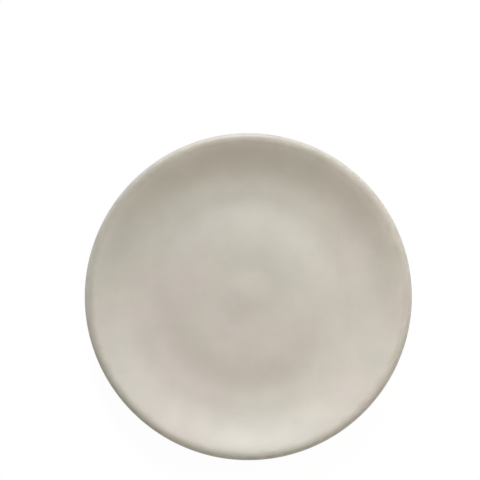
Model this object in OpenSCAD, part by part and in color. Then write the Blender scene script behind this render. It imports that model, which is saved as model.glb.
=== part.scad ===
// Coupe dinner plate in glazed stoneware: a turned clay body on a bare foot ring, under coats of satin glaze.
// The plate's axis is the Z axis, and the foot ring stands on z = 0. Lengths are in millimetres.

/* [Plate] */
// Diameter over the lip, glaze included
plate_d = 270; // [240:1:300]
// Height from the table to the top of the lip
plate_h = 26; // [23:0.5:30]
// Thickness of the floor, glaze included
floor_t = 5.4; // [4.5:0.1:7]

/* [Well] */
// Radius of the lowest ring of the well, which lies over the foot ring
valley_r = 77; // [71:0.5:83]
// Height above the lowest ring where the dome meets the small rise in its middle
crown_h = 2; // [1:0.1:3.5]
// Height of that rise, which turning leaves at the centre
rise_h = 1.05; // [0.3:0.05:1.5]
// Radius of that rise
rise_r = 26.5; // [18:0.5:40]
// Slope at which the dome climbs on from the shallow groove round the rise
rise_deg = 2.5; // [0:0.5:3]

/* [Wall] */
// Width of the shallow apron between the lowest ring and the wall
apron_w = 15; // [12:0.5:20]
// Height that the apron climbs
apron_h = 1.7; // [1:0.1:2.6]
// Slope of the apron at its outer edge
apron_deg = 8.5; // [6:0.5:12]
// Slope at which the wall meets the lip
wall_deg = 21.5; // [18:0.5:25]
// Slope of the underside where it meets the lip
under_lip_deg = 24; // [21:0.5:27]
// Slope of the underside where it leaves the foot ring
under_foot_deg = 6; // [3:0.5:9]

/* [Lip] */
// Radius of the lip from its top to its outer edge
lip_out_r = 4.6; // [3.6:0.1:5.6]
// Radius with which the wall rolls over into the lip
lip_in_r = 7.2; // [5.5:0.1:8.5]
// Radius of the lip's lower edge
lip_under_r = 2; // [1.2:0.1:3]

/* [Foot ring] */
// Diameter of the foot ring along the middle of its land
foot_d = 148; // [136:1:156]
// Width of the foot ring at the table
foot_w = 5; // [4:0.25:7]
// Height of the floor's underside above the table
foot_h = 3.3; // [2.8:0.1:5]
// Rounding of the foot ring's two edges
foot_edge_r = 0.9; // [0.4:0.1:1.4]
// Lean of the foot ring's sides
foot_lean_deg = 14; // [6:1:22]
// Height of the bare band, up to the glaze line
bare_h = 1.7; // [1.3:0.1:2.2]
// Reach of the blend from the foot ring's outer side to the underside
outer_blend_w = 5; // [3:0.5:8]
// Reach of the blend from the foot ring's inner side to the recess
inner_blend_w = 5; // [3:0.5:8]

/* [Glaze] */
// Thickness of each coat
glaze_t = 0.4; // [0.2:0.05:0.6]

/* [Hidden] */
$fn = 180;

// Steps in which a curve is drawn, and the turn of each step of an arc
curve_steps = 14;
arc_step_deg = 9;
// How far a curve's two handles reach, as shares of the distance between its ends
even_shares = [1 / 3, 1 / 3];
rise_shares = [0.22, 0.27];
crown_shares = [0.65, 0.26];
wall_shares = [0.5, 0.25];
recess_shares = [0.35, 0.55];
blend_shares = [0.55, 0.6];

plate_r = plate_d / 2;
foot_r = foot_d / 2;
valley_z = foot_h + floor_t;
crown_z = valley_z + crown_h;
lip_top_r = plate_r - lip_out_r;

// Directions are unit vectors in the section, where x is the radius and y is the height
function direction(deg) = [cos(deg), sin(deg)];
function left(v) = [-v.y, v.x] / norm(v);
function between(a, b, share) = a + (b - a) * share;

// A run is a list of stations along the section. A station is a point and the direction out of the plate there.
function point(station) = station[0];
function outward(station) = station[1];

// The run of a cubic curve over four points, from de Casteljau's steps
function curve(p) = [
    for (i = [0 : curve_steps])
        let (
            t = i / curve_steps,
            q = [for (k = [0 : 2]) between(p[k], p[k + 1], t)],
            a = between(q[0], q[1], t),
            b = between(q[1], q[2], t)
        )
        [between(a, b, t), left(b - a)]
];

// The run of a curve between two places, each a radius, a height and a slope
function sweep(a, b, shares) =
    let (w = b[0] - a[0], start = [a[0], a[1]], end = [b[0], b[1]])
    curve([
        start,
        start + w * shares[0] * [1, tan(a[2])],
        end - w * shares[1] * [1, tan(b[2])],
        end
    ]);

// The run of an arc, turning clockwise
function arc(centre, r, from_deg, to_deg) =
    let (steps = ceil((from_deg - to_deg) / arc_step_deg))
    [
        for (i = [0 : steps])
            let (d = direction(between(from_deg, to_deg, i / steps)))
            [centre + r * d, d]
    ];

// Runs joined end to end, where each starts at the last station of the one before
function chain(runs) = [
    for (i = [0 : len(runs) - 1])
        for (j = [min(i, 1) : len(runs[i]) - 1])
            runs[i][j]
];

// A run moved out of the plate, and its points
function moved(run, out) = [for (s = run) [point(s) + out * outward(s), outward(s)]];
function points(run) = [for (s = run) point(s)];
function reversed(list) = [for (i = [len(list) - 1 : -1 : 0]) list[i]];

// The glazed surface of the face, from the axis to the lip's outermost line
lip_roll = [lip_top_r, plate_h - lip_in_r];
wall_top = lip_roll + lip_in_r * left(direction(wall_deg));
centre = [0, crown_z + rise_h, 0];
rise_edge = [rise_r, crown_z, rise_deg];
valley = [valley_r, valley_z, 0];
apron_edge = [valley_r + apron_w, valley_z + apron_h, apron_deg];
face = chain([
    sweep(centre, rise_edge, rise_shares),
    sweep(rise_edge, valley, crown_shares),
    sweep(valley, apron_edge, even_shares),
    sweep(apron_edge, [wall_top.x, wall_top.y, wall_deg], wall_shares),
    arc(lip_roll, lip_in_r, wall_deg + 90, 90),
    arc([lip_top_r, plate_h - lip_out_r], lip_out_r, 90, 0)
]);

// The glazed surface of the underside, from the lip's outermost line to the foot ring's outer blend
lip_under = [plate_r - lip_under_r, plate_h - lip_out_r];
under_top = lip_under - lip_under_r * left(direction(under_lip_deg));
under_foot = [foot_r + foot_w / 2 + outer_blend_w, foot_h, under_foot_deg];
underside = chain([
    arc(lip_under, lip_under_r, 0, under_lip_deg - 90),
    sweep([under_top.x, under_top.y, under_lip_deg], under_foot, even_shares)
]);

// The glazed surface of the recess inside the foot ring, from the inner blend to the axis
recess_edge = [foot_r - foot_w / 2 - inner_blend_w, foot_h, 0];
recess = sweep(recess_edge, [0, crown_z - floor_t, 0], recess_shares);

// The bare clay of the foot ring, from the glaze line outside to the glaze line inside
foot_corner_r = foot_w / 2 - foot_edge_r;
foot_out = arc([foot_r + foot_corner_r, foot_edge_r], foot_edge_r, -foot_lean_deg, -90);
foot_in = arc([foot_r - foot_corner_r, foot_edge_r], foot_edge_r, -90, foot_lean_deg - 180);

// The place where a foot ring's side, which leaves this station along its lean, reaches the glaze line
function glaze_line(station, up) =
    [point(station) + up * (bare_h - point(station).y) / up.y, outward(station)];

out_up = direction(90 - foot_lean_deg);
in_up = direction(90 + foot_lean_deg);
out_line = glaze_line(foot_out[0], out_up);
in_line = glaze_line(foot_in[len(foot_in) - 1], in_up);
foot = concat([out_line], foot_out, foot_in, [in_line]);

// The clay's surface under each coat, with the blends that lead to the glaze lines
clay_face = moved(face, -glaze_t);
clay_under = moved(underside, -glaze_t);
clay_recess = moved(recess, -glaze_t);
under_end = point(clay_under[len(clay_under) - 1]);
recess_start = point(clay_recess[0]);
blend_h = foot_h - bare_h;
outer_blend = curve([
    under_end,
    under_end - outer_blend_w * blend_shares[1] * direction(under_foot_deg),
    point(out_line) + blend_h * blend_shares[0] * out_up,
    point(out_line)
]);
inner_blend = curve([
    point(in_line),
    point(in_line) + blend_h * blend_shares[0] * in_up,
    recess_start + inner_blend_w * blend_shares[1] * direction(0),
    recess_start
]);
clay_back = chain([clay_under, outer_blend]);
clay_foot_recess = chain([inner_blend, clay_recess]);

// One coat of glaze, turned round the axis over a run of the clay's surface
module coat(run) {
    rotate_extrude()
        polygon(concat(points(moved(run, glaze_t)), reversed(points(run))));
}

// The fired clay: floor, wall, lip and foot ring in one turned piece, bare only round the foot ring
module clay_body() {
    color([0.71, 0.64, 0.53])
        rotate_extrude()
            polygon(points(chain([clay_face, clay_back, foot, clay_foot_recess])));
}

// The coat on the side that carries food, from the centre over the lip to its outermost line
module face_glaze() {
    color([0.73, 0.7, 0.66]) coat(clay_face);
}

// The coat on the underside, from the lip's outermost line to the foot ring's outer glaze line
module back_glaze() {
    color([0.72, 0.69, 0.65]) coat(clay_back);
}

// The coat in the recess inside the foot ring
module foot_recess_glaze() {
    color([0.71, 0.68, 0.64]) coat(clay_foot_recess);
}

clay_body();
face_glaze();
back_glaze();
foot_recess_glaze();
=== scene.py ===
# %% [markdown]
# # A coupe dinner plate in glazed stoneware
#
# The plate is one turned and fired piece of clay under three coats of satin glaze: one on the face,
# one on the underside, and one in the recess inside the foot ring. Only the foot ring is left bare.
# A coupe plate has no separate rim: the well sweeps up into a wall, which rolls over into a thick
# lip.
#
# This lesson turns the four pieces as a potter does, from a section spun round the plate's axis.
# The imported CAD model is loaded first. It is the frame that every piece has to fit, and its
# overall sizes are read from it.

import math

import bmesh
import bpy
from mathutils import Matrix, Vector, geometry, noise


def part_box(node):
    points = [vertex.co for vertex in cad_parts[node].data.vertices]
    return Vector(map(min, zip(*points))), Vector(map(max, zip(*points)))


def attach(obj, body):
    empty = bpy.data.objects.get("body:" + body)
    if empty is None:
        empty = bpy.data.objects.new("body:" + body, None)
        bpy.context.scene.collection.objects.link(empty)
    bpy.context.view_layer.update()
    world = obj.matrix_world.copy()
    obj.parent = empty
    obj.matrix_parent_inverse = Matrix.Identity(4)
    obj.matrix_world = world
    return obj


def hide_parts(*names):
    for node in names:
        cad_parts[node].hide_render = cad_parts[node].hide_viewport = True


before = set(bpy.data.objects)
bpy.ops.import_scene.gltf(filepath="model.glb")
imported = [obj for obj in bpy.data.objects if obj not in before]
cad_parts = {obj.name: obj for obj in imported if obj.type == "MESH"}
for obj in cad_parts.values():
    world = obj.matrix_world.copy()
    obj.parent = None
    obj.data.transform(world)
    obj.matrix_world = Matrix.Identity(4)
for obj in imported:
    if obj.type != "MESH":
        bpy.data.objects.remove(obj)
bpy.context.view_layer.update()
mm = 0.001


# %% [markdown]
# ## Camera
#
# The photograph looks straight down on the plate, which lies a little below the middle of the
# picture. The camera could stand over the plate's centre and be shifted, but then every other view
# would be shifted too, so it stands over the picture's middle instead. A long lens from a metre up
# keeps the lip as round and flat as it is in the photograph. The outline is a circle in the
# picture, so its centre and radius in pixels place the camera.

# %% Camera
PICTURE_PX = 480
PICTURE_MIDDLE_PX = (PICTURE_PX - 1) / 2
CIRCLE_PX = (247.8, 296.1)
CIRCLE_RADIUS_PX = 163.55
LENS_MM, SENSOR_MM = 100, 36

plate_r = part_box("face_glaze")[1].x
plate_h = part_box("face_glaze")[1].z
widest_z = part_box("back_glaze")[1].z
px = plate_r / CIRCLE_RADIUS_PX

lens = bpy.data.cameras.new("camera")
lens.lens = LENS_MM
lens.sensor_width = SENSOR_MM
camera = bpy.data.objects.new("camera", lens)
bpy.context.scene.collection.objects.link(camera)
bpy.context.scene.camera = camera
camera.location = (
    (PICTURE_MIDDLE_PX - CIRCLE_PX[0]) * px,
    (CIRCLE_PX[1] - PICTURE_MIDDLE_PX) * px,
    widest_z + PICTURE_PX * px * LENS_MM / SENSOR_MM,
)
print(f"one pixel is {px / mm:.3f} mm, and the camera is {camera.location.z:.3f} m up")

# %% [markdown]
# ## Nodes
#
# Every finish here is made of shader nodes, which take a few lines each to add and link. A few
# small helpers do that, so that a material reads as a list of what it is made of.

# %% Helpers that add nodes
def add(tree, kind, inputs=None, **settings):
    """Adds a node. An input takes a value, or a link from another node's output."""
    made = tree.nodes.new(kind)
    for name, value in settings.items():
        setattr(made, name, value)
    for name, value in (inputs or {}).items():
        if isinstance(value, bpy.types.NodeSocket):
            tree.links.new(value, made.inputs[name])
        else:
            made.inputs[name].default_value = value
    return made


def worked(tree, operation, a, b):
    """A number worked out from two others."""
    return add(tree, "ShaderNodeMath", {0: a, 1: b}, operation=operation).outputs[0]


def worked_vector(tree, operation, a, b):
    """A vector worked out from two others."""
    return add(tree, "ShaderNodeVectorMath", {0: a, 1: b}, operation=operation).outputs[0]


def length(tree, vector):
    """How long a vector is."""
    return add(tree, "ShaderNodeVectorMath", {0: vector}, operation="LENGTH").outputs["Value"]


def spread(tree, value, low, high, to_low=0.0, to_high=1.0):
    """Maps the stretch from low to high to another, gently, and holds its ends."""
    inputs = {
        "Value": value,
        "From Min": low,
        "From Max": high,
        "To Min": to_low,
        "To Max": to_high,
    }
    node = add(tree, "ShaderNodeMapRange", inputs, interpolation_type="SMOOTHSTEP")
    return node.outputs["Result"]


# %% Helpers for places, rays and surfaces
WHITE = (1, 1, 1, 1)


def object_place(tree):
    """The place that is looked up, in the object's own coordinates."""
    return add(tree, "ShaderNodeTexCoord").outputs["Object"]


def seen_directly(tree):
    """1 for a ray from the camera, or one that gloss or clear glass sends on, and otherwise 0."""
    path = add(tree, "ShaderNodeLightPath").outputs
    either = path["Is Camera Ray"]
    for other in ("Is Glossy Ray", "Is Transmission Ray"):
        either = worked(tree, "MAXIMUM", either, path[other])
    return either


def mixed_surface(tree, share, a, b):
    """One surface where the share is 0, and another where it is 1."""
    return add(tree, "ShaderNodeMixShader", {0: share, 1: a, 2: b}).outputs[0]


# %% [markdown]
# ## World and floor
#
# The plate stands on a plain pale floor in a white room. What lights the plate, though, is a dim
# even room, because the photograph's shaded side is deep. The Light Path node keeps the two apart:
# the camera, a reflection and clear glass see white, and light that spreads from the room is soft
# and low. It is warm too, because the shaded side of the wall is the warmer one.
#
# The floor mixes an even white with a share that the lamps light, which is what a shadow darkens.
# Round the plate that share is small, so the shadow is as faint as in the photograph, and far off
# there is none of it, so the floor ends in the white room without a line. Under the plate, where
# the photograph can't look, it is large, so that from the side the foot stands in its own shadow.
# The light that the floor sends up under the plate is kept apart from what it shows, and seen from
# underneath the floor is clear, so that the foot and the recess can be looked at.

# %% World
AMBIENT = 0.03
WARM = (1.04, 1, 0.91)

world = bpy.data.worlds.new("soft_room")
bpy.context.scene.world = world
world.use_nodes = True
tree = world.node_tree
tree.nodes.clear()
dim = add(tree, "ShaderNodeBackground", {"Color": (*WARM, 1), "Strength": AMBIENT}).outputs[0]
white = add(tree, "ShaderNodeBackground", {"Color": WHITE, "Strength": 1}).outputs[0]
room = mixed_surface(tree, seen_directly(tree), dim, white)
add(tree, "ShaderNodeOutputWorld", {"Surface": room})
print(f"the room looks white, and lights the plate with {AMBIENT} of that")

# %% A plain floor
FLOOR_HALF = 4
FLOOR_GAP = 0.02 * mm

bm = bmesh.new()
bmesh.ops.create_grid(bm, x_segments=1, y_segments=1, size=FLOOR_HALF)
bmesh.ops.translate(bm, verts=bm.verts, vec=(0, 0, -FLOOR_GAP))
mesh = bpy.data.meshes.new("floor")
bm.to_mesh(mesh)
bm.free()
floor = bpy.data.objects.new("floor", mesh)
bpy.context.scene.collection.objects.link(floor)
print(f"the floor is {2 * FLOOR_HALF} m wide, and {FLOOR_GAP / mm} mm below the foot ring")

# %% What the floor shows, and what it sends up
ROUND_GLOW, ROUND_SHADE = 0.97, 0.04
FADES_FROM, FADED_AT = 2 * plate_r, 1.5
HIDDEN_GLOW, HIDDEN_SHADE = 0.3, 0.7
HIDDEN_R = 95 * mm
UNDER_GLOW = 0.7
BOUNCE_GLOW, BOUNCE_SHADE = 0.42, 0.2


def grey(value):
    """A grey as bright as the value, as a colour with its alpha."""
    return (value, value, value, 1)


def glow_and_shade(tree, glow, shade):
    """A surface that gives off some light evenly and takes the rest from the lamps."""
    lit = add(tree, "ShaderNodeBsdfDiffuse", {"Color": shade}).outputs[0]
    even = add(tree, "ShaderNodeEmission", {"Color": WHITE, "Strength": glow}).outputs[0]
    return add(tree, "ShaderNodeAddShader", {0: lit, 1: even}).outputs[0]


paper = bpy.data.materials.new("pale_floor")
paper.use_nodes = True
tree = paper.node_tree
tree.nodes.clear()
reach = length(tree, object_place(tree))

glow = spread(tree, reach, FADES_FROM, FADED_AT, ROUND_GLOW, 1)
shade = spread(tree, reach, FADES_FROM, FADED_AT, ROUND_SHADE, 0)
open_floor = glow_and_shade(tree, glow, shade)
hidden_floor = glow_and_shade(tree, HIDDEN_GLOW, grey(HIDDEN_SHADE))
hidden = spread(tree, reach, HIDDEN_R, plate_r, 1, 0)
shown = mixed_surface(tree, hidden, open_floor, hidden_floor)

sent = spread(tree, reach, HIDDEN_R, plate_r, UNDER_GLOW, BOUNCE_GLOW)
bounce = glow_and_shade(tree, sent, grey(BOUNCE_SHADE))
top_side = mixed_surface(tree, seen_directly(tree), bounce, shown)
clear = add(tree, "ShaderNodeBsdfTransparent").outputs[0]
from_below = add(tree, "ShaderNodeNewGeometry").outputs["Backfacing"]
surface = mixed_surface(tree, from_below, top_side, clear)
add(tree, "ShaderNodeOutputMaterial", {"Surface": surface})
floor.data.materials.append(paper)
print(f"{paper.name}: {len(tree.nodes)} nodes")

# %% [markdown]
# ## Lamps
#
# The shade on the inside of the wall tells where the light stands: the wall is dark at the top of
# the picture and shines at the bottom, so a tall window of two panes stands beyond the top. It is
# cool daylight, because the lit side of the wall is the cooler one. The plate also fades from
# right to left, which only a near lamp does, so a small softbox hangs close by on the right. The
# lip shines right out to its edge at the top and on the right, so two low ones stand near the
# horizon. The lip is coolest on the right, so that one has the blue of open sky. One in front
# evens out the shading of the wall and lifts the lip's near side.

# %% Lamps
COOL = (0.975, 1, 1.09)
SKY = (0.95, 1, 1.08)
WINDOW_AWAY, WINDOW_SIDE = 6, 1.5
SOFTBOX_AWAY, SOFTBOX_SIDE = 4, 1.2
NEAR_AWAY, NEAR_SIDE = 0.6, 0.3


def lamp(name, zenith_deg, azimuth_deg, distance, side, level, tint):
    """A square lamp aimed at the plate. Azimuth 0 is the top of the picture, and 90 its right side.

    The level is what a white surface square to the light would show, by this lamp alone."""
    data = bpy.data.lights.new(name, "AREA")
    data.shape = "SQUARE"
    data.size = side
    data.energy = level * math.pi ** 2 * distance ** 2
    data.color = tint
    made = bpy.data.objects.new(name, data)
    bpy.context.scene.collection.objects.link(made)
    zenith, azimuth = math.radians(zenith_deg), math.radians(azimuth_deg)
    away = Vector((
        math.sin(zenith) * math.sin(azimuth),
        math.sin(zenith) * math.cos(azimuth),
        math.cos(zenith),
    ))
    made.location = away * distance
    made.rotation_euler = away.to_track_quat("Z", "Y").to_euler()
    made.visible_camera = False
    print(f"{name}: {data.energy:.1f} W from {distance} m")


lamp("window_upper_pane", 57.5, -2.5, WINDOW_AWAY, WINDOW_SIDE, 0.705, COOL)
lamp("window_lower_pane", 64.5, -7, WINDOW_AWAY, WINDOW_SIDE, 0.334, COOL)
lamp("near_softbox", 34.5, 73, NEAR_AWAY, NEAR_SIDE, 0.428, WARM)
lamp("low_softbox_left", 80, -23, SOFTBOX_AWAY, SOFTBOX_SIDE, 0.166, WARM)
lamp("low_softbox_right", 81, 96, SOFTBOX_AWAY, SOFTBOX_SIDE, 0.16, SKY)
lamp("front_softbox", 64, 202.5, SOFTBOX_AWAY, SOFTBOX_SIDE, 0.288, WARM)

# %% [markdown]
# ## Sizes
#
# The overall sizes come from the frame. The others are the sizes that the plate was drawn with,
# which are written once here. A share says how far a curve's handle reaches, out of the distance
# that the curve covers.

# %% Sizes of the section
floor_t = 5.4 * mm
valley_r = 77 * mm
crown_h = 2 * mm
rise_h = 1.05 * mm
rise_r = 26.5 * mm
rise_slope = math.radians(2.5)
apron_w = 15 * mm
apron_h = 1.7 * mm
apron_slope = math.radians(8.5)
wall_slope = math.radians(21.5)
under_lip_slope = math.radians(24)
under_foot_slope = math.radians(6)
lip_in_r = 7.2 * mm
lip_under_r = 2 * mm
foot_r = 74 * mm
foot_w = 5 * mm
foot_h = 3.3 * mm
foot_edge_r = 0.9 * mm
foot_lean = math.radians(14)
bare_h = 1.7 * mm
blend_w = 5 * mm
glaze_t = 0.4 * mm

even_shares = (1 / 3, 1 / 3)
rise_shares = (0.22, 0.27)
crown_shares = (0.65, 0.26)
wall_shares = (0.5, 0.25)
recess_shares = (0.35, 0.55)
blend_side_share, blend_floor_share = 0.55, 0.6

lip_out_r = plate_h - widest_z
lip_top_r = plate_r - lip_out_r
valley_z = foot_h + floor_t
crown_z = valley_z + crown_h
blend_h = foot_h - bare_h
print(f"the plate is {plate_h / mm:.1f} mm high, and its lip's radius is {lip_out_r / mm:.2f} mm")

# %% [markdown]
# ## Curves of the section
#
# A run is a row of stations along the section, each a point with the direction out of the plate
# there, so that a coat of glaze or the clay under it is the same run moved a little in or out.
# The long gentle stretches are cubic Bezier curves, which Blender's own interpolate_bezier divides.
# Each is drawn between two places, and a place is a radius, a height and a slope. The lip and the
# foot ring's corners are arcs.

# %% Directions and curves
def across(v):
    """The unit vector a quarter turn to the left of v, in the section's plane."""
    return Vector((-v.z, 0, v.x)).normalized()


def heading(turn):
    """The unit vector at an angle above the horizontal, in the section's plane."""
    return Vector((math.cos(turn), 0, math.sin(turn)))


def curve(a, b, c, d, steps):
    """A cubic curve from a to d. A station's neighbours give its outward direction."""
    points = geometry.interpolate_bezier(a, b, c, d, steps + 1)
    along = [b - a] + [points[i + 1] - points[i - 1] for i in range(1, steps)] + [d - c]
    return [(point, across(v)) for point, v in zip(points, along)]


def sweep(start, end, shares, steps):
    """A curve between two places."""
    (r1, z1, slope1), (r2, z2, slope2) = start, end
    a, d = Vector((r1, 0, z1)), Vector((r2, 0, z2))
    b = a + (r2 - r1) * shares[0] * Vector((1, 0, math.tan(slope1)))
    c = d - (r2 - r1) * shares[1] * Vector((1, 0, math.tan(slope2)))
    return curve(a, b, c, d, steps)


# %% Arcs and joined runs
LIP_ARC_STEP = math.radians(4)
FOOT_ARC_STEP = math.radians(10)


def arc(centre, r, start, end, step=LIP_ARC_STEP):
    """An arc that turns clockwise from one direction to another."""
    steps = math.ceil((start - end) / step)
    turns = [start + (end - start) * i / steps for i in range(steps + 1)]
    return [(centre + r * heading(turn), heading(turn)) for turn in turns]


def chain(*runs):
    """Runs joined end to end, without the station that two of them share."""
    joined = list(runs[0])
    for run in runs[1:]:
        joined += run[1:]
    return joined


def moved(run, out):
    """A run moved out of the plate, or into it where out is negative."""
    return [(point + out * outward, outward) for point, outward in run]


# %% [markdown]
# ## The glazed face
#
# From the middle outwards, the face has a small rise that the potter's finger leaves, a shallow
# groove round it, a flat dome, a lowest ring over the foot, a shallow apron, the wall, and the lip,
# which rolls over in two arcs. Soft light from one side draws each of them as a faint ring.

# %% The face
lip_roll = Vector((lip_top_r, 0, plate_h - lip_in_r))
wall_top = lip_roll + lip_in_r * across(heading(wall_slope))
middle = (0, crown_z + rise_h, 0)
rise_edge = (rise_r, crown_z, rise_slope)
valley = (valley_r, valley_z, 0)
apron_edge = (valley_r + apron_w, valley_z + apron_h, apron_slope)
face = chain(
    sweep(middle, rise_edge, rise_shares, steps=14),
    sweep(rise_edge, valley, crown_shares, steps=22),
    sweep(valley, apron_edge, even_shares, steps=8),
    sweep(apron_edge, (wall_top.x, wall_top.z, wall_slope), wall_shares, steps=16),
    arc(lip_roll, lip_in_r, wall_slope + math.pi / 2, math.pi / 2),
    arc(Vector((lip_top_r, 0, widest_z)), lip_out_r, math.pi / 2, 0),
)
print(len(face), "stations on the face")

# %% [markdown]
# ## The underside
#
# Underneath, the glaze runs from the lip's outermost line down to the foot ring, and again from
# the foot ring to the middle of the recess. A trimming tool cut both while the clay was leather
# hard, and it left fine rings, so a shallow ripple is laid over these two runs.

# %% The underside and the recess
TRIM_PITCH = 2.9 * mm
TRIM_DEPTH = 0.035 * mm

lip_under = Vector((plate_r - lip_under_r, 0, widest_z))
under_top = lip_under - lip_under_r * across(heading(under_lip_slope))
under_start = (under_top.x, under_top.z, under_lip_slope)
under_foot = (foot_r + foot_w / 2 + blend_w, foot_h, under_foot_slope)
recess_edge = (foot_r - foot_w / 2 - blend_w, foot_h, 0)
recess_middle = (0, crown_z - floor_t, 0)


def rippled(run):
    """A run with the tool's ripple, which dies away at both ends to join its neighbours."""
    last = len(run) - 1
    stations = []
    for i, (point, outward) in enumerate(run):
        fade = math.sin(math.pi * i / last) ** 0.5
        depth = TRIM_DEPTH * fade * (math.cos(math.tau * point.x / TRIM_PITCH) - 1)
        stations.append((point + depth * outward, outward))
    return stations


underside = chain(
    arc(lip_under, lip_under_r, 0, under_lip_slope - math.pi / 2),
    rippled(sweep(under_start, under_foot, even_shares, steps=84)),
)
recess = rippled(sweep(recess_edge, recess_middle, recess_shares, steps=110))
print(len(underside), "stations underneath, and", len(recess), "in the recess")

# %% [markdown]
# ## The bare foot ring
#
# The foot ring is wiped clean before firing, because glaze would weld it to the kiln shelf. It is
# a small trapezium with rounded corners. Above it the clay blends into the floor on both sides.

# %% The foot ring
corner_r = foot_w / 2 - foot_edge_r
outer_corner = Vector((foot_r + corner_r, 0, foot_edge_r))
inner_corner = Vector((foot_r - corner_r, 0, foot_edge_r))
down = -math.pi / 2
foot_out = arc(outer_corner, foot_edge_r, -foot_lean, down, FOOT_ARC_STEP)
foot_in = arc(inner_corner, foot_edge_r, down, foot_lean - math.pi, FOOT_ARC_STEP)


def glaze_line(station, up):
    """Where the foot ring's side, which leaves this station along up, reaches the glaze line."""
    point, outward = station
    return (point + up * (bare_h - point.z) / up.z, outward)


out_up = heading(math.pi / 2 - foot_lean)
in_up = heading(math.pi / 2 + foot_lean)
out_line = glaze_line(foot_out[0], out_up)
in_line = glaze_line(foot_in[-1], in_up)
foot = [out_line] + foot_out + foot_in + [in_line]
print(len(foot), "stations round the foot ring")

# %% The clay's surface
BLEND_STEPS = 40

clay_face = moved(face, -glaze_t)
clay_under = moved(underside, -glaze_t)
clay_recess = moved(recess, -glaze_t)
under_end = clay_under[-1][0]
recess_start = clay_recess[0][0]
outer_blend = curve(
    under_end,
    under_end - blend_w * blend_floor_share * heading(under_foot_slope),
    out_line[0] + blend_h * blend_side_share * out_up,
    out_line[0],
    BLEND_STEPS,
)
inner_blend = curve(
    in_line[0],
    in_line[0] + blend_h * blend_side_share * in_up,
    recess_start + blend_w * blend_floor_share * heading(0),
    recess_start,
    BLEND_STEPS,
)
clay_back = chain(clay_under, outer_blend)
clay_foot_recess = chain(inner_blend, clay_recess)
print(len(clay_back), "stations on the clay's back, and", len(clay_foot_recess), "in its recess")

# %% [markdown]
# ## The coats of glaze
#
# A coat is a skin over a run of the clay. Its section goes out along the glazed surface and comes
# back along the clay, where every third station is enough, because nobody sees it. Where a coat
# meets bare clay, the wet glaze drew itself into a rounded bead: it swells a little, and then
# turns under. A bevel would round the end but not swell it, so the thickness follows a formula.

# %% Sections of the coats
BEAD_WIDTH = 0.7 * mm
BEAD_SWELL = 0.35
END_ROUND = 0.3 * mm


def thickness(from_line):
    """The coat's thickness at a distance from the line where it stops."""
    swell = 1 + BEAD_SWELL * math.exp(-((from_line - BEAD_WIDTH) / BEAD_WIDTH) ** 2)
    inside = min(from_line / END_ROUND, 1)
    return glaze_t * swell * math.sqrt(inside * (2 - inside))


def beaded(run, line):
    """The outside of a coat that stops at the glaze line."""
    return [point + thickness((point - line).length) * outward for point, outward in run]


def back_along(run, every=3):
    """The clay's side of a coat."""
    inner = run[::every]
    if inner[-1] is not run[-1]:
        inner.append(run[-1])
    return [point for point, outward in reversed(inner)]


face_section = [point for point, outward in moved(clay_face, glaze_t)] + back_along(clay_face)
back_section = beaded(clay_back, out_line[0]) + back_along(clay_back)[1:]
recess_section = beaded(clay_foot_recess, in_line[0])[1:] + back_along(clay_foot_recess)
clay_outline = chain(clay_face[::2], clay_back[::2], foot, clay_foot_recess[::2])
clay_section = [point for point, outward in clay_outline]
print(f"a coat is {glaze_t / mm:.1f} mm thick, and its bead {thickness(BEAD_WIDTH) / mm:.2f} mm")

# %% [markdown]
# ## Unevenness
#
# A turned plate isn't quite true. It sinks and lifts by a hair while it dries and fires, and its
# glaze line wavers. Blender's smooth noise gives both. The first moves clay and glaze alike, so
# that the coats stay on, and it leaves the foot ring flat. The second slides only the coats' lower
# edge along the foot ring's leaning sides.

# %% Settling and the wavering glaze line
SETTLE = 0.22 * mm
SETTLE_WAVES = 15
SETTLE_FROM = Vector((3.7, 1.2, 0))
LINE_WAVER = 0.22 * mm
LINE_WAVES = 7


def ease(share):
    """A share held between 0 and 1, which starts and ends gently."""
    share = min(max(share, 0), 1)
    return share * share * (3 - 2 * share)


def settle(bm):
    """Lifts and sinks everything above the foot ring by a hair."""
    for v in bm.verts:
        above_foot = ease((v.co.z - foot_h) / floor_t)
        place = Vector((v.co.x, v.co.y, 0)) * SETTLE_WAVES
        v.co.z += SETTLE * above_foot * noise.noise(place + SETTLE_FROM)


def waver(bm):
    """Slides a coat's lower edge up and down the foot ring's side."""
    for v in bm.verts:
        near_line = 1 - ease((v.co.z - bare_h) / blend_h)
        side = math.copysign(math.tan(foot_lean), math.hypot(v.co.x, v.co.y) - foot_r)
        round_foot = Vector((v.co.x, v.co.y, 0)).normalized()
        place = round_foot * LINE_WAVES + Vector((0, 0, side))
        lift = LINE_WAVER * near_line * noise.noise(place)
        v.co += Vector((0, 0, lift)) + round_foot * lift * side


# %% [markdown]
# ## Turning
#
# Spin is Blender's lathe. Its work grows with the square of the steps, so an eighth of the turn is
# spun, and copied round three times, which doubles it each time. Merging the doubles closes the
# seams and the poles on the axis. An edge that lay along the axis has no face after that and is
# deleted, and then the faces are turned outwards.

# %% Spin a section
EIGHTH_STEPS = 45
EIGHTH = math.tau / 8
MERGE_WITHIN = 0.002 * mm


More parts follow.
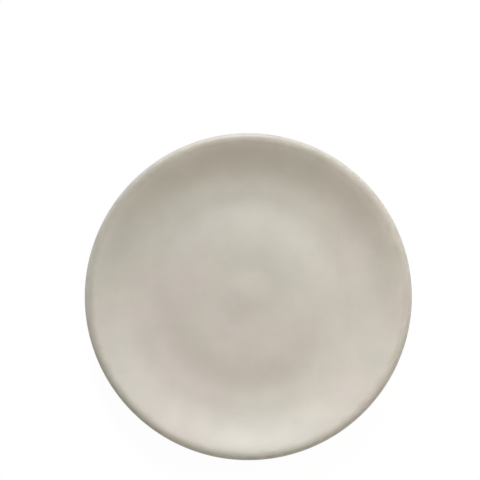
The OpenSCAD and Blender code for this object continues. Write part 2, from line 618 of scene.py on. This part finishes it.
def spun(section):
    """A mesh turned from a section, which is closed first where it stays off the axis."""
    bm = bmesh.new()
    ring = [bm.verts.new(point) for point in section]
    edges = [bm.edges.new(pair) for pair in zip(ring, ring[1:])]
    if min(section[0].x, section[-1].x) > mm:
        edges.append(bm.edges.new((ring[-1], ring[0])))
    bmesh.ops.spin(
        bm,
        geom=ring + edges,
        cent=(0, 0, 0),
        axis=(0, 0, 1),
        angle=EIGHTH,
        steps=EIGHTH_STEPS,
        use_merge=False,
    )
    for turn in (EIGHTH, 2 * EIGHTH, 4 * EIGHTH):
        everything = bm.verts[:] + bm.edges[:] + bm.faces[:]
        copied = bmesh.ops.duplicate(bm, geom=everything)["geom"]
        verts = [part for part in copied if isinstance(part, bmesh.types.BMVert)]
        onward = Matrix.Rotation(turn, 3, "Z")
        bmesh.ops.rotate(bm, verts=verts, cent=(0, 0, 0), matrix=onward)
    bmesh.ops.remove_doubles(bm, verts=bm.verts, dist=MERGE_WITHIN)
    wires = [edge for edge in bm.edges if edge.is_wire]
    bmesh.ops.delete(bm, geom=wires, context="EDGES")
    return bm


# %% Finish a piece
SMOOTH_ANGLE = math.radians(40)


def turned(name, section, *changes):
    """A finished piece from a section, with its unevenness."""
    bm = spun(section)
    for change in changes:
        change(bm)
    bmesh.ops.recalc_face_normals(bm, faces=bm.faces)
    loose = sum(not edge.is_manifold for edge in bm.edges)
    mesh = bpy.data.meshes.new(name)
    bm.to_mesh(mesh)
    bm.free()
    mesh.shade_smooth()
    mesh.set_sharp_from_angle(angle=SMOOTH_ANGLE)
    made = bpy.data.objects.new(name, mesh)
    bpy.context.scene.collection.objects.link(made)
    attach(made, "root")
    print(f"{name}: {len(mesh.polygons)} faces, {loose} open edges")
    return made


# %% Turn the four pieces
clay_body = turned("stoneware_body", clay_section, settle)
face_coat = turned("face_coat", face_section, settle)
back_coat = turned("back_coat", back_section, settle, waver)
recess_coat = turned("recess_coat", recess_section, settle, waver)

# %% [markdown]
# ## Patterns
#
# The finishes follow the plate, so their patterns read Object coordinates, which stay on a piece
# wherever it goes. Patches and grain come from Blender's smooth noise, whose values seldom leave
# the middle of the range from 0 to 1, so that stretch is what gets spread. The lines that turning
# and trimming leave come from its wave texture, set to rings round the axis.

# %% Noise and rings
NOISE_LOW, NOISE_HIGH = 0.3, 0.7


def cloud(tree, place, size, detail=2.0, offset=(0, 0, 0)):
    """Smooth noise from 0 to 1, whose patches measure about size."""
    shifted = worked_vector(tree, "ADD", place, offset)
    inputs = {"Vector": shifted, "Scale": 1 / size, "Detail": detail}
    return add(tree, "ShaderNodeTexNoise", inputs).outputs["Fac"]


def varied(tree, place, size, low, high, detail=2.0, offset=(0, 0, 0)):
    """A number that drifts between two values, in patches that measure about size."""
    patches = cloud(tree, place, size, detail, offset)
    return spread(tree, patches, NOISE_LOW, NOISE_HIGH, low, high)


def rings(tree, place, scale, distortion, detail=2.0, detail_scale=1.0):
    """Rings round the axis, from 0 to 1, which the distortion bends out of true."""
    inputs = {
        "Vector": place,
        "Scale": scale,
        "Distortion": distortion,
        "Detail": detail,
        "Detail Scale": detail_scale,
    }
    kind = {"wave_type": "RINGS", "rings_direction": "Z"}
    return add(tree, "ShaderNodeTexWave", inputs, **kind).outputs["Fac"]


# %% Colours and relief
def mixed(tree, share, a, b, blend="MIX"):
    """A colour from a to b. Each is a colour or a link.

    The node has sockets for each kind of value. Its colours are inputs 6 and 7, and output 2."""
    inputs = {0: share, 6: a, 7: b}
    return add(tree, "ShaderNodeMix", inputs, data_type="RGBA", blend_type=blend).outputs[2]


def bumped(tree, height, depth, normal=None):
    """Adds relief to the shading normal. The depth is a length."""
    inputs = {"Height": height, "Distance": depth, "Strength": 1.0}
    if normal:
        inputs["Normal"] = normal
    return add(tree, "ShaderNodeBump", inputs).outputs["Normal"]


def new_surface(name):
    """A new material, its node tree and its shader."""
    made = bpy.data.materials.new(name)
    made.use_nodes = True
    return made, made.node_tree, made.node_tree.nodes["Principled BSDF"]


# %% [markdown]
# ## Satin glaze
#
# The glaze is a warm off-white that breaks the light softly: a broad matt sheen from fine crystals,
# with a faint clearer gloss on top. It could be one colour, but a real coat isn't even. It pools
# a little darker in the middle and gathers paler above the foot. Over the crest of the lip it is
# darker, partly as thin glaze over the buff clay and partly as painted shade, and its outermost
# line is lighter and cooler, which is a painted highlight. The well's lowest ring and the foot of
# the wall carry a faint painted shade. Broad faint patches lean to pink or to green, and iron in
# the clay leaves specks that are too fine to see from a step away. Underneath, it also breaks over
# the crests of the trimming lines, more in some places than in others.

# %% The glaze's colours
POOLED = (0.4705, 0.438, 0.380, 1)
FIELD = (0.488, 0.453, 0.393, 1)
THICK = (0.503, 0.468, 0.407, 1)
# Thin glaze at the foot ring's edge; over the lip's crest, partly thin glaze and partly painted
# shade.
THIN_AND_SHADED = (0.4115, 0.379, 0.319, 1)
# Painted shade, a little darker than the field, laid in the well's lowest ring and at the wall's
# foot.
SHADED = (0.4835, 0.449, 0.3895, 1)
# A painted highlight: the lip's outermost line is lighter and cooler than the thin glaze beside it.
PAINTED_RIM_HIGHLIGHT = (0.475, 0.453, 0.392, 1)
PINK_CAST = (1.012, 0.995, 1.0, 1)
GREEN_CAST = (0.985, 1.007, 0.997, 1)
SPECK = (0.36, 0.3, 0.22, 1)

# %% Tones from the middle to the edge
DRIFT, DRIFT_SIZE = 1.2 * mm, 9 * mm


def toned(tree, place, radius, tone_stops):
    """The glaze's colour by its distance from the axis, with borders that wander a little."""
    drift = varied(tree, place, DRIFT_SIZE, -DRIFT, DRIFT, detail=3.0)
    share = worked(tree, "DIVIDE", worked(tree, "ADD", radius, drift), plate_r)
    ramp = add(tree, "ShaderNodeValToRGB", {"Fac": share})
    stops = ramp.color_ramp.elements
    while len(stops) < len(tone_stops):
        stops.new(0.5)
    for stop, (reach, colour) in zip(stops, tone_stops):
        stop.position = reach / plate_r
        stop.color = colour
    return ramp.outputs["Color"]


# %% Patches, mottle, crests and specks
CAST_SIZE = 90 * mm
CAST_FROM = (1.6155, -2.9655, 1.2)
MOTTLE, MOTTLE_SIZE = 0.03, 22 * mm
MOTTLE_FROM = (0, 0.2, 0)
CREST_DARK, CREST_SIZE = 0.07, 35 * mm
CREST_FROM = (0.3, 0, 0)
SPECK_SHARE, SPECK_SIZE = 0.35, 0.9 * mm
WAVE_TURN = 20  # how far a wave texture of scale 1 turns in a metre, in radians


def crested(tree, place, plan):
    """How much darker the glaze is on the crests of the trimming lines, where it is thin."""
    lines = rings(tree, plan, math.tau / (WAVE_TURN * TRIM_PITCH), distortion=0.0)
    crests = spread(tree, lines, 0.0, 0.5, 1.0, 0.0)
    patches = cloud(tree, place, CREST_SIZE, offset=CREST_FROM)
    return worked(tree, "MULTIPLY", crests, spread(tree, patches, 0.35, 0.65, 0.0, CREST_DARK))


def patchy(tree, place, plan, colour, trimmed):
    """A colour with the glaze's patches, mottle and specks, and where it is trimmed, its crests."""
    patches = cloud(tree, plan, CAST_SIZE, offset=CAST_FROM)
    cast = mixed(tree, spread(tree, patches, 0.4, 0.6), GREEN_CAST, PINK_CAST)
    colour = mixed(tree, 1.0, colour, cast, "MULTIPLY")
    mottle = varied(tree, place, MOTTLE_SIZE, 1 - MOTTLE, 1 + MOTTLE, 3.0, MOTTLE_FROM)
    if trimmed:
        mottle = worked(tree, "SUBTRACT", mottle, crested(tree, place, plan))
    even = add(tree, "ShaderNodeCombineColor", {0: mottle, 1: mottle, 2: mottle}).outputs[0]
    colour = mixed(tree, 1.0, colour, even, "MULTIPLY")
    specks = spread(tree, cloud(tree, place, SPECK_SIZE, 0.0), 0.72, 0.8, 0.0, SPECK_SHARE)
    return mixed(tree, specks, colour, SPECK)


# %% Sheen and relief
MATT_LOW, MATT_HIGH, MATT_SIZE = 0.66, 0.74, 20 * mm
LIP_GLOSS = 0.1
LINES_SCALE, LINES_DEPTH = 50, 0.004 * mm
SWELL_SIZE, SWELL_DEPTH = 4 * mm, 0.02 * mm
GRAIN_SIZE, GRAIN_DEPTH = 0.8 * mm, 0.006 * mm
LIP_GRAIN_SIZE, LIP_GRAIN_DEPTH = 1.3 * mm, 0.05 * mm
LIP_GRAIN_FROM = (0.1, 0, 0)


def sheen(tree, place, on_lip):
    """The roughness, which is lower where the glaze is stretched over the lip."""
    matt = varied(tree, place, MATT_SIZE, MATT_LOW, MATT_HIGH)
    return worked(tree, "SUBTRACT", matt, spread(tree, on_lip, 0.0, 1.0, 0.0, LIP_GLOSS))


def relief(tree, place, on_lip):
    """Faint turning lines, soft swells and fine grain, with a coarser grain over the lip."""
    lines = rings(tree, place, LINES_SCALE, distortion=2.5, detail=1.0, detail_scale=0.6)
    normal = bumped(tree, lines, LINES_DEPTH)
    normal = bumped(tree, cloud(tree, place, SWELL_SIZE, 1.0), SWELL_DEPTH, normal)
    normal = bumped(tree, cloud(tree, place, GRAIN_SIZE), GRAIN_DEPTH, normal)
    grain = cloud(tree, place, LIP_GRAIN_SIZE, offset=LIP_GRAIN_FROM)
    return bumped(tree, worked(tree, "MULTIPLY", grain, on_lip), LIP_GRAIN_DEPTH, normal)


# %% The glaze's recipe
COAT, COAT_ROUGHNESS = 0.15, 0.36
LIP_BAND = 2 * mm


def glaze(name, tone_stops, trimmed=False):
    """A satin glaze. A tone stop is a distance from the axis and the glaze's colour there."""
    material, tree, shader = new_surface(name)
    place = object_place(tree)
    plan = worked_vector(tree, "MULTIPLY", place, (1, 1, 0))
    radius = length(tree, plan)
    on_lip = spread(tree, radius, lip_top_r - LIP_BAND, lip_top_r + LIP_BAND)
    colour = patchy(tree, place, plan, toned(tree, place, radius, tone_stops), trimmed)
    tree.links.new(colour, shader.inputs["Base Color"])
    tree.links.new(sheen(tree, place, on_lip), shader.inputs["Roughness"])
    tree.links.new(relief(tree, place, on_lip), shader.inputs["Normal"])
    shader.inputs["Coat Weight"].default_value = COAT
    shader.inputs["Coat Roughness"].default_value = COAT_ROUGHNESS
    print(f"{name}: {len(tone_stops)} tones, {len(tree.nodes)} nodes")
    return material


# %% [markdown]
# ## Three coats from one recipe
#
# The three coats are the same glaze. The tone stops say where each one pools, lies thick and runs
# thin, and on the face also where shade and a highlight are painted in: a faint painted shade in
# the lowest ring and at the foot of the wall, thin glaze and painted shade over the crest of the
# lip, and a lighter, cooler painted highlight on the lip's outermost line, where the face meets the
# back and the back is of its usual tone. Near the foot ring the glaze ran down and gathered, and
# its very edge is thin.

# %% Dress the coats
from_foot = foot_w / 2 + 1 * mm
face_coat.data.materials.append(glaze("face_satin_glaze", [
    (0, POOLED),
    (rise_r, POOLED),
    (46 * mm, FIELD),
    (64 * mm, FIELD),
    # painted shade in the lowest ring
    (valley_r, SHADED),
    (90 * mm, FIELD),
    (112 * mm, FIELD),
    # painted shade at the foot of the wall
    (121 * mm, SHADED),
    (126 * mm, FIELD),
    # the crest of the lip: thin glaze and painted shade
    (130.6 * mm, THIN_AND_SHADED),
    (132 * mm, THIN_AND_SHADED),
    # painted highlight on the lip's outermost line
    (134 * mm, PAINTED_RIM_HIGHLIGHT),
]))
back_coat.data.materials.append(glaze("back_satin_glaze", [
    (foot_r + foot_w / 2, THIN_AND_SHADED),
    (foot_r + from_foot, THICK),
    (foot_r + 14 * mm, FIELD),
], trimmed=True))
recess_coat.data.materials.append(glaze("recess_satin_glaze", [
    (0, POOLED),
    (34 * mm, FIELD),
    (foot_r - from_foot, THICK),
    (foot_r - foot_w / 2, THIN_AND_SHADED),
], trimmed=True))

# %% [markdown]
# ## Bare stoneware
#
# The foot ring is raw fired clay: dry, buff and grainy, with grog, which is crushed fired clay, in
# darker and paler grains. The kiln toasts it along the glaze line, and the wheel left fine lines
# round it.

# %% The clay's colour
CLAY = (0.47, 0.36, 0.24, 1)
TOASTED = (0.36, 0.22, 0.12, 1)
DARK_GRAIN = (0.27, 0.18, 0.11, 1)
PALE_GRAIN = (0.6, 0.5, 0.38, 1)
TOAST_FROM, TOAST_TO, TOAST_SHARE = 0.9 * mm, 1.9 * mm, 0.55
BLUSH_SHARE, BLUSH_SIZE = 0.25, 7 * mm
GROG_SIZE = 0.8 * mm

material, tree, shader = new_surface("bare_stoneware")
place = object_place(tree)
height = add(tree, "ShaderNodeSeparateXYZ", {0: place}).outputs["Z"]
toast = spread(tree, height, TOAST_FROM, TOAST_TO, 0.0, TOAST_SHARE)
colour = mixed(tree, toast, CLAY, TOASTED)
grog = add(tree, "ShaderNodeTexVoronoi", {"Vector": place, "Scale": 1 / GROG_SIZE})
which = add(tree, "ShaderNodeSeparateColor", {0: grog.outputs["Color"]}).outputs
colour = mixed(tree, spread(tree, which["Red"], 0.84, 0.88, 0.0, 0.7), colour, DARK_GRAIN)
colour = mixed(tree, spread(tree, which["Green"], 0.86, 0.9, 0.0, 0.6), colour, PALE_GRAIN)
colour = mixed(tree, varied(tree, place, BLUSH_SIZE, 0.0, BLUSH_SHARE), colour, TOASTED)
tree.links.new(colour, shader.inputs["Base Color"])

# %% The clay's dryness and grain
DRY_LOW, DRY_HIGH, DRY_SIZE = 0.82, 0.95, 2 * mm
WHEEL_SCALE, WHEEL_DEPTH = 420, 0.012 * mm
SAND_SIZE, SAND_DEPTH = 0.5 * mm, 0.06 * mm

dry = varied(tree, place, DRY_SIZE, DRY_LOW, DRY_HIGH)
tree.links.new(dry, shader.inputs["Roughness"])
lines = rings(tree, place, WHEEL_SCALE, distortion=1.0)
normal = bumped(tree, lines, WHEEL_DEPTH)
normal = bumped(tree, cloud(tree, place, SAND_SIZE, 3.0), SAND_DEPTH, normal)
tree.links.new(normal, shader.inputs["Normal"])
clay_body.data.materials.append(material)
print(f"{material.name}: {len(tree.nodes)} nodes")

# %% [markdown]
# ## The pieces in the frame
#
# Each piece stands for one CAD node, whose own mesh is hidden.

# %% Nodes that the pieces stand for
for piece, node, slot in (
    (clay_body, "clay_body", "clay"),
    (face_coat, "face_glaze", "face_glaze"),
    (back_coat, "back_glaze", "back_glaze"),
    (recess_coat, "foot_recess_glaze", "recess_glaze"),
):
    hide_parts(node)
    print(f"{piece.name} stands for {node}")

# %% Colour management and the end
bpy.context.scene.view_settings.view_transform = "Standard"
